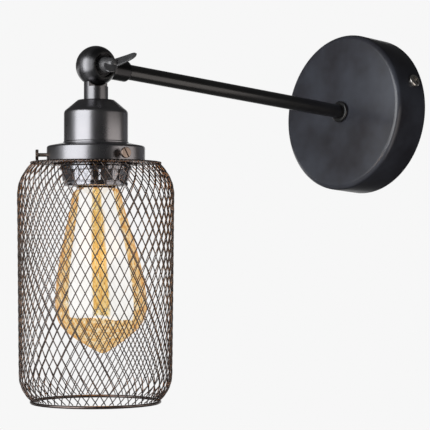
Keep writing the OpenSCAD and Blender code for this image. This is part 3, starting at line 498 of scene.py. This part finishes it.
def along(pts):
    """An outline's length, and a function from distance along it to its point and outward normal."""
    d = [0.0]
    for a, b in zip(pts, pts[1:]):
        d.append(d[-1] + math.dist(a, b))

    def at(s):
        s = max(0.0, min(d[-1], s))
        i = max(k for k in range(len(d) - 1) if d[k] <= s)
        t = (s - d[i]) / max(1e-9, d[i + 1] - d[i])
        a, b = pts[i], pts[i + 1]
        tx, ty = b[0] - a[0], b[1] - a[1]
        size = math.hypot(tx, ty)
        return (a[0] + t * tx, a[1] + t * ty), (ty / size, -tx / size)
    return d[-1], at


MESH_COUNT, MESH_ROWS, MESH_PHASE, ROW_PHASE = 50, 27.25, 0.2204, 0.2627
PER_CELL = 4             # points along a strand in each diamond
STRAND = 0.40            # half width of a strand
SUNK, WEAVE = 0.45, 0.16  # how deep the strands lie in the skin, and how far the two families part
# how far the strands wander round the cage, in diamonds: the sheet, then one family against the other
DRIFT, DRIFT_SIDE, SKEW, SKEW_SIDE = -0.134, -0.1136, 0.0774, -0.0279
WANDER_FROM = 0.72       # radians: the wander is nil and the sway turns over this far before the lamp's +x
length, cage_at = along(cage_outline())
verts, faces = [], []
for family in (1, -1):
    for k in range(MESH_COUNT):
        path = []
        for j in range(int(MESH_ROWS * PER_CELL) + 1):
            v = j / PER_CELL
            (r, s), (nr, ns) = cage_at(length * v / MESH_ROWS)
            # the two families lie a little over and under each other between the knots
            lift = -SUNK + family * WEAVE * math.cos(math.pi * (v + ROW_PHASE))
            a = 2 * math.pi * (k + MESH_PHASE + family * (v + ROW_PHASE) / 2) / MESH_COUNT
            wander, sway = (1 - math.cos(a + WANDER_FROM)) / 2, math.sin(a + WANDER_FROM)
            off = (DRIFT + family * SKEW) * wander + (DRIFT_SIDE + family * SKEW_SIDE) * sway
            a += 2 * math.pi / MESH_COUNT * off
            r, s = r + lift * nr, s + lift * ns
            path.append(Vector((r * math.cos(a), r * math.sin(a), -s)))
        a = 2 * math.pi * (k + MESH_PHASE) / MESH_COUNT
        out = Vector((math.cos(a), math.sin(a), 0))
        tube(verts, faces, path, (STRAND * 0.9, STRAND), 6, start=out)
# a weld bead where each strand meets the top plate's edge
BEAD = ((-0.8, 0.2), (-0.55, 0.5), (0, 0.7), (0.45, 0.5), (0.6, 0.2))    # (height, radius)
for k in range(2 * MESH_COUNT):
    a = math.pi * (k + 2 * MESH_PHASE) / MESH_COUNT
    d = Vector((math.cos(a), math.sin(a), 0))
    foot = d * (TOP_R - 0.2) + Vector((0, 0, -CAGE_TOP + 0.5))
    path = [foot + Vector((0, 0, h)) for h, r in BEAD]
    tube(verts, faces, path, lambda i: (BEAD[i][1], BEAD[i][1]), 8, start=d)
cage = dress(piece("cage_mesh_wire", verts, faces, HEAD), WIRE)
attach(cage, "shade")
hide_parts("cage_mesh")

# ---------------------------------------------------------------- the bulb
BULB_LOW, BULB_WIDE, BULB_R, CAP_LOW = 201.1, 167.1, 32.0, 85.5


def bulb_outline(n=48):
    """The glass's outer skin from its seat in the cap to its pointed foot, as (radius, distance down)."""
    cone = [(16.9, CAP_LOW + 3.5), (20.2, CAP_LOW + 24.5), (31.5, CAP_LOW + 53.5), (BULB_R, BULB_WIDE)]
    foot = [(BULB_R, BULB_WIDE), (BULB_R, BULB_WIDE + 12.9), (27.0, BULB_WIDE + 18.9), (5.0, BULB_LOW - 2.1)]
    pts = [(12.25, GLASS_SEAT), (12.25, CAP_LOW + 0.4), (14.6, CAP_LOW + 1.0)]
    pts += [bezier(cone, i / n) for i in range(n)] + [bezier(foot, i / n) for i in range(n + 1)]
    return pts + [(2.6, BULB_LOW - 0.6), (1.1, BULB_LOW - 0.1), (0, BULB_LOW)]


glass = dress(turned("bulb_glass_blown", bulb_outline(), BULB, 160, sharp=80, closed=False), AMBER)
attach(glass, "bulb")
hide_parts("bulb_glass")

# ---------------------------------------------------------------- the lampholder's shade ring
RIBS, RIB_AT, RIB_HALF, RIB_H = 10, math.radians(-56.4), math.radians(10.5), 0.9
FLANK, FLANK_FOOT = math.radians(1.5), math.radians(1.6)
RING_STEPS = 240


def rib(a, r):
    """How far the drum stands out at an angle: flat-faced ribs with steep flanks."""
    pitch = 2 * math.pi / RIBS
    d = abs((a - RIB_AT + pitch / 2) % pitch - pitch / 2)
    flat = (r + RIB_H) * math.cos(RIB_HALF) / math.cos(min(d, RIB_HALF)) - r
    return flat * max(0.0, min(1.0, (RIB_HALF + FLANK_FOOT - d) / FLANK))


# (radius, distance down, 1 where the ribs stand out), once round the ring's section
RING_SKIN = [
    (19.4, 55.2, 0), (22.4, 55.2, 0), (23.0, 55.8, 0), (23.0, 69.6, 0), (24.9, 70.3, 0), (25.2, 70.6, 0),
    (25.2, 72.9, 0), (24.9, 73.3, 0), (23.4, 73.4, 0), (23.4, 73.45, 1), (22.6, 80.5, 1), (22.5, 80.6, 0),
    (21.9, 80.9, 0), (21.9, 81.5, 0), (22.5, 81.8, 0), (22.5, 83.4, 0), (22.3, 83.9, 0), (21.7, 84.2, 0),
    (15.6, 84.2, 0), (15.6, 82.6, 0), (18.4, 82.6, 0), (19.4, 81.6, 0)]
verts, faces = [], []
for r, s, on in RING_SKIN:
    for k in range(RING_STEPS):
        a = 2 * math.pi * k / RING_STEPS
        ra = r + (rib(a, r) if on else 0)
        verts.append((ra * math.cos(a), ra * math.sin(a), -s))
for i in range(len(RING_SKIN)):
    for k in range(RING_STEPS):
        p, q, m = i * RING_STEPS, (i + 1) % len(RING_SKIN) * RING_STEPS, (k + 1) % RING_STEPS
        faces.append((p + k, p + m, q + m, q + k))
ring = dress(sharpen(piece("shade_ring_moulded", verts, faces, HEAD), 28), GLOSSY)
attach(ring, "lamp_head")
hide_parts("shade_ring")

# ---------------------------------------------------------------- the gallery's slotted screws
# mm from the lamp's axis: shank from its point to inside the head, then the head's underside, the slot's
# floor and the head's face
SHANK_IN, SHANK_R, SHANK_OUT = 32.4, 1.3, 40.2
HEAD_IN, SLOT_FLOOR, HEAD_OUT, HEAD_R = 40.1, 41.2, 42.1, 3.75
SLOT_HALF, CHAMFER = 0.45, 0.3
SCREWS_DOWN, SCREWS_FROM = 62.4, -8      # mm below the knuckle, and degrees round from the lamp's +x
SLOTS_AT = (29, 20, 75)                  # degrees


def slotted_screw(name, slot_at, n=20):
    """A screw along +z: shank, chamfered head and a slot across it at an angle from the lamp's axis."""
    shank = [(0, SHANK_IN), (SHANK_R - 0.2, SHANK_IN), (SHANK_R, SHANK_IN + 0.2), (SHANK_R, SHANK_OUT),
             (0, SHANK_OUT)]
    disc = [(0, HEAD_IN), (HEAD_R - 0.15, HEAD_IN), (HEAD_R, HEAD_IN + 0.15), (HEAD_R, SLOT_FLOOR),
            (0, SLOT_FLOOR)]
    o = turned(name, [(r, -z) for r, z in shank], None, 32, sharp=40)
    bm = bmesh.new()
    bm.from_mesh(o.data)
    absorb(bm, turned("screw_part", [(r, -z) for r, z in disc], None, 4 * n, sharp=40))
    for side in (1, -1):
        # the two lands beside the slot, each from its floor to the head's chamfered face
        verts, faces, rows = [], [], []
        for radius, z in ((HEAD_R, SLOT_FLOOR), (HEAD_R, HEAD_OUT - CHAMFER), (HEAD_R - CHAMFER, HEAD_OUT)):
            a0 = math.asin(SLOT_HALF / radius)
            rows.append(range(len(verts), len(verts) + n + 1))
            for k in range(n + 1):
                a = a0 + (math.pi - 2 * a0) * k / n
                x, y = radius * math.cos(a), radius * math.sin(a) * side
                verts.append((x * math.cos(slot_at) - y * math.sin(slot_at),
                              x * math.sin(slot_at) + y * math.cos(slot_at), z))
        for p, q in zip(rows, rows[1:]):
            for k in range(n + 1):
                m = (k + 1) % (n + 1)
                faces.append((p[k], p[m], q[m], q[k]))
        faces += [tuple(rows[0]), tuple(rows[-1])]
        absorb(bm, sharpen(piece("screw_part", verts, faces), 30))
    bm.to_mesh(o.data)
    bm.free()
    return o


for i, slot_at in enumerate(SLOTS_AT):
    o = slotted_screw("fitter_screw_%d_turned" % (i + 1), math.radians(slot_at))
    t = math.radians(120 * i + SCREWS_FROM)
    outward = Vector((math.cos(t), math.sin(t), 0))
    sideways = Vector((-math.sin(t), math.cos(t), 0))
    # the screw's x lies along the lamp's axis, its z points outward
    seat = Matrix((Vector((0, 0, -1)), sideways, outward)).transposed().to_4x4()
    o.data.transform(HEAD @ Matrix.Translation((0, 0, -SCREWS_DOWN * MM)) @ seat)
    dress(o, BRONZE)
    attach(o, "fitter_screw_%d" % (i + 1))
    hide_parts("fitter_screw_%d" % (i + 1))

# ---------------------------------------------------------------- the knuckle's wing nut
# lengths in mm along the bolt (+x) from the knuckle's middle
KNUCKLE_TO_BOLT = Matrix.Translation(KNUCKLE) @ Matrix.Rotation(math.radians(90), 4, "Y")
BOLT_DIR = Vector((1, 0, 0))
WING_TURN, WING_TWIST = math.radians(27), math.radians(25)
WING_ROOT, WING_LEN, WING_BEND = 17.0, 20.4, 2.0
WING_STEPS, WING_SIDES = 22, 24
HUB_FOOT, DOME_AT, DOME_R, DOME_H = 10.5, 18.4, 4.3, 4.0
BORE_R, BORE_END = 3.05, 21.4


def hub_outline():
    """Outer skin of the hub from its foot to its domed end, then its blind bore, as (radius, -x)."""
    skin = [(5.2, HUB_FOOT), (5.6, 10.8)] + [(5.6 - 1.3 * t, 10.8 + 7.4 * t) for t in (0.3, 0.6, 0.9)]
    skin += [(DOME_R * math.cos(math.radians(t)), DOME_AT + DOME_H * math.sin(math.radians(t)))
             for t in range(0, 90, 15)]
    skin += [(0, DOME_AT + DOME_H), (0, BORE_END + 0.1), (BORE_R, BORE_END), (BORE_R, HUB_FOOT)]
    return [(r, -x) for r, x in skin]


def leaf(i):
    """A wing's half width and half thickness at a step along it: both fall from its root to a round end."""
    t = i / WING_STEPS
    end = math.sqrt(max(0.0, 1 - max(0.0, (t - 0.84) / 0.16) ** 2))
    return (max(0.05, (4.9 - 2.3 * t + 0.7 * math.sin(math.pi * t)) * end),
            max(0.05, (1.7 - 0.5 * t) * (0.4 + 0.6 * end)))


hub = turned("wing_nut_cast", hub_outline(), KNUCKLE_TO_BOLT, 48, sharp=50)
bm = bmesh.new()
bm.from_mesh(hub.data)
for side in (1, -1):
    rho = Vector((0, math.cos(WING_TURN), math.sin(WING_TURN))) * side
    across = BOLT_DIR.cross(rho)
    verts, faces, path = [], [], []
    for i in range(WING_STEPS + 1):
        t = i / WING_STEPS
        reach = WING_LEN * (t - 0.04)
        path.append(BOLT_DIR * WING_ROOT + (BOLT_DIR * (0.74 - 0.05 * t) + rho * 0.70) * reach
                    + across * WING_BEND * t * t)
    wing_dir = (BOLT_DIR + rho).normalized()
    face = Matrix.Rotation(side * WING_TWIST, 3, wing_dir) @ (rho - BOLT_DIR)
    tube(verts, faces, path, leaf, WING_SIDES, start=face)
    # the leaf is thinned to half along its middle, so that both faces are dished
    for i, v in enumerate(verts):
        row, k = divmod(i, WING_SIDES)
        dish = 0.50 + 0.50 * math.cos(2 * math.pi * k / WING_SIDES) ** 2
        d = (path[min(row + 1, WING_STEPS)] - path[max(row - 1, 0)]).normalized()
        broad = (face - face.dot(d) * d).normalized()
        from_middle = v - path[row]
        wide = broad * from_middle.dot(broad)
        verts[i] = path[row] + wide + (from_middle - wide) * dish
    absorb(bm, piece("wing_part", verts, faces, Matrix.Translation(KNUCKLE)))
bm.to_mesh(hub.data)
bm.free()
for p in hub.data.polygons:
    p.use_smooth = True
dress(hub, OXIDE)
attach(hub, "wing_nut")
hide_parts("wing_nut")

# a thin ring in the knuckle's recess, round the washer
lip = [(8.4, 10.31), (8.35, 10.4), (8.5, 10.5), (9.3, 10.56), (9.6, 10.5), (9.74, 10.4), (9.74, 10.31)]
gasket = dress(turned("knuckle_lip", [(r, -x) for r, x in lip], KNUCKLE_TO_BOLT, 96, sharp=40), LIP)
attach(gasket, "arm")

# ---------------------------------------------------------------- stage and light
FLOOR_Z, FLOOR_HALF = -900, 30000
PALE = 0.93              # how white the background looks
corners = ((-1, -1), (1, -1), (1, 1), (-1, 1))
floor = piece("floor", [(x * FLOOR_HALF, y * FLOOR_HALF, FLOOR_Z) for x, y in corners], [[0, 1, 2, 3]])


def maximum_of(nt, *values):
    most = values[0]
    for v in values[1:]:
        most = math_node(nt, "MAXIMUM", most, v)
    return most


def pale(nt, shader_in, white, behind):
    """Shows white to the camera everywhere, and to mirrors and glass where behind is 1.
    All else sees shader_in."""
    path = nt.nodes.new("ShaderNodeLightPath")
    mirrored = maximum_of(nt, path.outputs["Is Glossy Ray"], path.outputs["Is Transmission Ray"])
    fac = maximum_of(nt, path.outputs["Is Camera Ray"], math_node(nt, "MULTIPLY", mirrored, behind))
    mix = nt.nodes.new("ShaderNodeMixShader")
    link(nt, fac, mix.inputs["Fac"])
    link(nt, shader_in, mix.inputs[1])
    link(nt, white, mix.inputs[2])
    return mix.outputs["Shader"]


def behind_object(nt, vector, near, far, axis=-back):
    """1 where a direction or place lies well beyond the object, away from the photograph's eye."""
    return remap(nt, vector_math(nt, "DOT_PRODUCT", vector, axis, "Value"), near, far, 0, 1)


# the floor: matt grey paper to the lamps, white to the camera, and fading into the backdrop further out
m, nt, b = material("floor_paper")
nt.nodes.remove(b)
matt = nt.nodes.new("ShaderNodeBsdfDiffuse")
link(nt, ramp(nt, noise(nt, 3, 2), [(0.3, (0.5, 0.5, 0.5)), (0.7, (0.52, 0.52, 0.52))]), matt.inputs["Color"])
white = nt.nodes.new("ShaderNodeEmission")
white.inputs["Color"].default_value = (PALE, PALE, PALE, 1)
half = nt.nodes.new("ShaderNodeMixShader")
link(nt, matt.outputs["BSDF"], half.inputs[1])
link(nt, white.outputs["Emission"], half.inputs[2])
where = nt.nodes.new("ShaderNodeNewGeometry")
away = vector_math(nt, "LENGTH", where.outputs["Position"], output="Value")
link(nt, remap(nt, away, 2.0, 8.0, 0.75, 1.0), half.inputs["Fac"])
link(nt, pale(nt, matt.outputs["BSDF"], half.outputs["Shader"],
              behind_object(nt, where.outputs["Position"], 1.5, 3.0)),
     nt.nodes["Material Output"].inputs["Surface"])
dress(floor, m)

world = bpy.data.worlds.new("studio")
bpy.context.scene.world = world
world.use_nodes = True
nt = world.node_tree
soft = nt.nodes["Background"]
soft.inputs["Color"].default_value = (1, 1, 1, 1)
soft.inputs["Strength"].default_value = 0.06
seen = nt.nodes.new("ShaderNodeBackground")
seen.inputs["Color"].default_value = (PALE, PALE, PALE, 1)
seen.inputs["Strength"].default_value = 1.0
ways = nt.nodes.new("ShaderNodeTexCoord")
link(nt, pale(nt, soft.outputs["Background"], seen.outputs["Background"],
              behind_object(nt, ways.outputs["Generated"], 0.9, 0.97)),
     nt.nodes["World Output"].inputs["Surface"])


LAMP_MIDDLE = Vector((0, -0.276, -0.06))


def softbox(name, azimuth, elevation, distance, size, power, colour):
    """An area light at an azimuth to the right of the camera, as seen from the lamp head."""
    a, e = math.radians(azimuth), math.radians(elevation)
    flat_back = Vector((back.x, back.y, 0)).normalized()
    flat_right = Vector((right.x, right.y, 0)).normalized()
    d = (flat_back * math.cos(a) + flat_right * math.sin(a)) * math.cos(e) + Vector((0, 0, math.sin(e)))
    light = bpy.data.lights.new(name, "AREA")
    light.shape = "RECTANGLE"
    light.size, light.size_y = size
    light.energy = power
    light.color = colour
    o = bpy.data.objects.new(name, light)
    bpy.context.scene.collection.objects.link(o)
    o.location = LAMP_MIDDLE + d * distance
    o.rotation_mode = "QUATERNION"
    o.rotation_quaternion = d.to_track_quat("Z", "Y")
    o.visible_camera = False


DAYLIGHT = (0.97, 0.985, 1.0)
softbox("key", -46, 2, 1.0, (1.12, 1.25), 10.9, DAYLIGHT)
softbox("key_wide", -55, 2, 1.05, (1.62, 1.4), 3.8, DAYLIGHT)
softbox("side", 73, -10, 0.30, (0.34, 0.28), 0.34, (1.0, 0.93, 0.88))

bulb_light = bpy.data.lights.new("filament_light", "POINT")
bulb_light.energy = 0.2
bulb_light.color = (1.0, 0.58, 0.22)
bulb_light.shadow_soft_size = 0.02
o = bpy.data.objects.new("filament_light", bulb_light)
bpy.context.scene.collection.objects.link(o)
o.parent = frame["bodies"]["bulb"]
o.location = BULB @ Vector((0, 0, -0.135))
